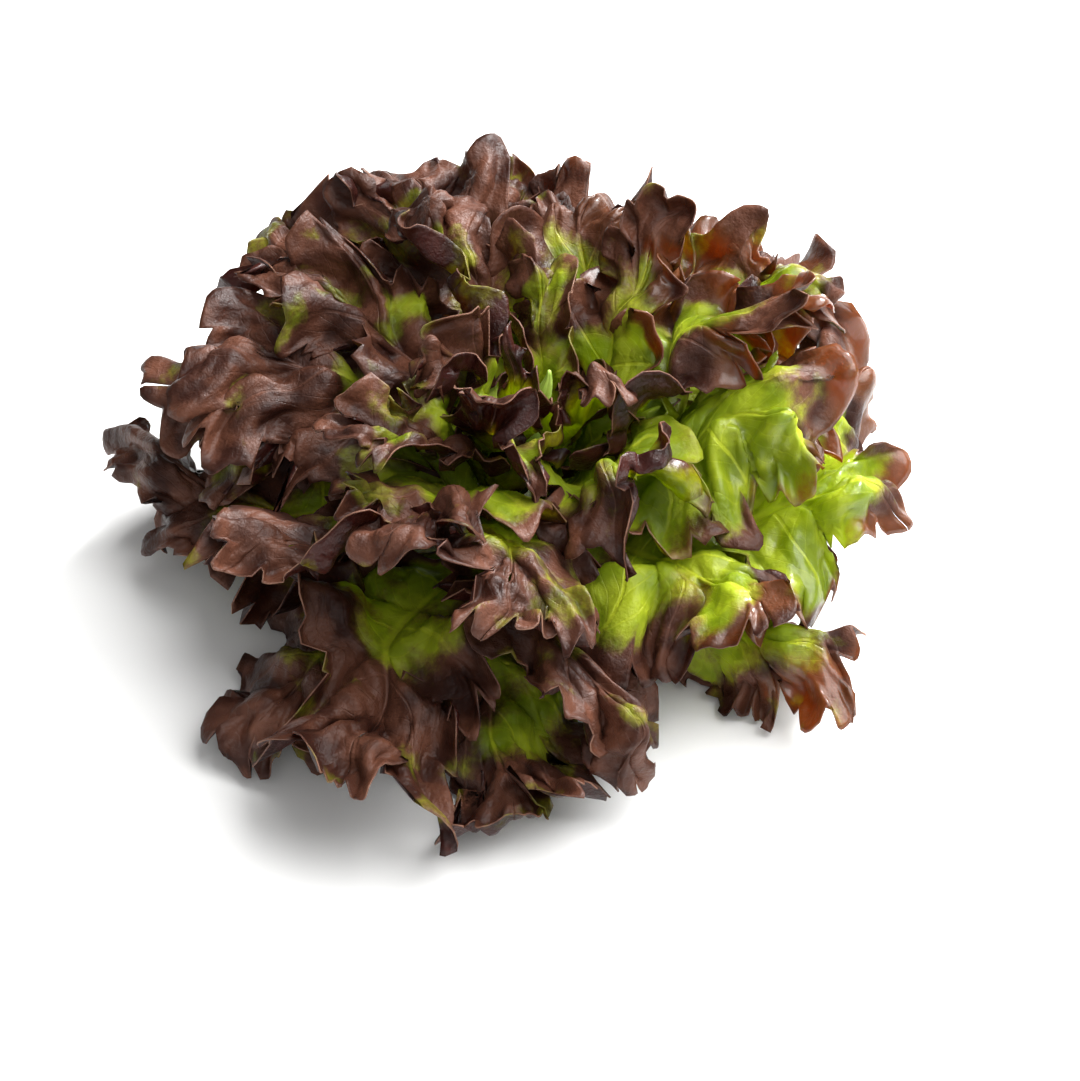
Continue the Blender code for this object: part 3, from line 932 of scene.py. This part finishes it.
def turned_stem():
    """The outline of the cut face and the dome, spun round the stem's axis."""
    profile = [(0.0, 0.0), (CUT_FACE_RADIUS, 0.0), (CUT_FACE_RADIUS + 0.8 * MM, 2.0 * MM)]
    for step in range(DOME_STEPS + 1):
        angle = DOME_LOWEST_ANGLE * (1 - step / DOME_STEPS)
        height = DOME_CENTRE_Z + DOME_RADIUS * math.cos(angle)
        profile.append((DOME_RADIUS * math.sin(angle), height))
    bm = bmesh.new()
    line = [bm.verts.new((x, 0.0, z)) for x, z in profile]
    edges = [bm.edges.new(pair) for pair in zip(line, line[1:])]
    bmesh.ops.spin(
        bm,
        geom=line + edges,
        cent=(0, 0, 0),
        axis=(0, 0, 1),
        angle=2 * math.pi,
        steps=96,
        use_merge=True,
    )
    bmesh.ops.remove_doubles(bm, verts=bm.verts, dist=0.01 * MM)
    bmesh.ops.recalc_face_normals(bm, faces=bm.faces)
    return bm


stem_flesh = plain_finish("stem_flesh", (0.72, 0.76, 0.46), (0.5, 0.6, 0.25), 0.4)
stem = finish_object("trimmed_stem", turned_stem(), stem_flesh)
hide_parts("stem")
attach(stem, "root")


# %% Heart
BUD_FOOT_Z = 47.5 * MM
BUD_LENGTH = 44.0 * MM
BUD_RADIUS = 5.0 * MM


def furled_bud():
    """A cylinder of unit size, narrowed at both ends and folded, with the head's own sway."""
    bm = bmesh.new()
    bmesh.ops.create_cone(
        bm, cap_ends=True, cap_tris=True, segments=48, radius1=1.0, radius2=1.0, depth=1.0
    )
    upright = [edge for edge in bm.edges if abs(edge.verts[0].co.z - edge.verts[1].co.z) > 0.5]
    bmesh.ops.subdivide_edges(bm, edges=upright, cuts=40)
    for vertex in bm.verts:
        share = vertex.co.z + 0.5
        angle = math.atan2(vertex.co.y, vertex.co.x)
        swell = mix(0.45, 1.0, smooth(share, 0.0, 0.45)) * (1 - smooth(share, 0.5, 1.12))
        fold = 1 + 0.3 * abs(math.sin(2.5 * angle + 4 * share)) * float(smooth(share, 0.0, 0.3))
        radius = BUD_RADIUS * swell * fold * math.hypot(vertex.co.x, vertex.co.y)
        height = BUD_FOOT_Z + BUD_LENGTH * share
        vertex.co = settled(np.array([radius * math.cos(angle), radius * math.sin(angle), height]))
    bmesh.ops.recalc_face_normals(bm, faces=bm.faces)
    return bm


heart_leaf = plain_finish("heart_leaf", (0.50, 0.64, 0.14), (0.25, 0.42, 0.05), 0.4)
heart = finish_object("furled_heart", furled_bud(), heart_leaf)
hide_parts("heart")
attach(heart, "root")

# %% [markdown]
# ## Floor, light and camera
#
# The head stands on a white sweep under a faint white sky. A large soft light hangs above it on
# the right. A smaller one, low behind it on the same side, shines through the leaves there and
# makes them glow. A weak one fills in from the viewer's side.

# %% Floor
bm = bmesh.new()
bmesh.ops.create_grid(bm, x_segments=1, y_segments=1, size=4.0)
paper = Finish("white_sweep")
matt = paper.node("ShaderNodeBsdfDiffuse", None, {"Color": (0.92, 0.92, 0.91, 1.0)})
floor = finish_object("floor", bm, paper.wear(matt.outputs[0]))

# %% Light
world = bpy.data.worlds.new("sky")
world.use_nodes = True
sky = world.node_tree.nodes["Background"]
sky.inputs["Color"].default_value = (1.0, 1.0, 1.0, 1.0)
sky.inputs["Strength"].default_value = 0.16
bpy.context.scene.world = world
bpy.context.scene.view_settings.view_transform = "Standard"


def soft_light(name, place, size, power):
    """A square area light that looks at the middle of the head: size in metres, power in watts."""
    light = bpy.data.lights.new(name, "AREA")
    light.size = size
    light.energy = power
    lamp = bpy.data.objects.new(name, light)
    lamp.location = place
    towards = Vector((0, 0, 0.05)) - Vector(place)
    lamp.rotation_euler = towards.to_track_quat("-Z", "Y").to_euler()
    bpy.context.scene.collection.objects.link(lamp)


soft_light("key", (0.75, 0.1, 1.4), 1.6, 62.0)
soft_light("back", (0.75, 1.05, 0.95), 0.4, 50.0)
soft_light("fill", (0.0, -1.2, 1.2), 1.6, 10.0)

# %% Camera
ELEVATION = math.radians(45)
AIM = Vector((0.0072, 0.0, 0.0177))
DISTANCE = 1.15
camera = bpy.data.cameras.new("camera")
camera.lens = 105.8
camera.sensor_width = 36.0
viewer = bpy.data.objects.new("camera", camera)
back = Vector((0.0, -math.cos(ELEVATION), math.sin(ELEVATION)))
viewer.location = AIM + DISTANCE * back
viewer.rotation_euler = (-back).to_track_quat("-Z", "Y").to_euler()
bpy.context.scene.collection.objects.link(viewer)
bpy.context.scene.camera = viewer
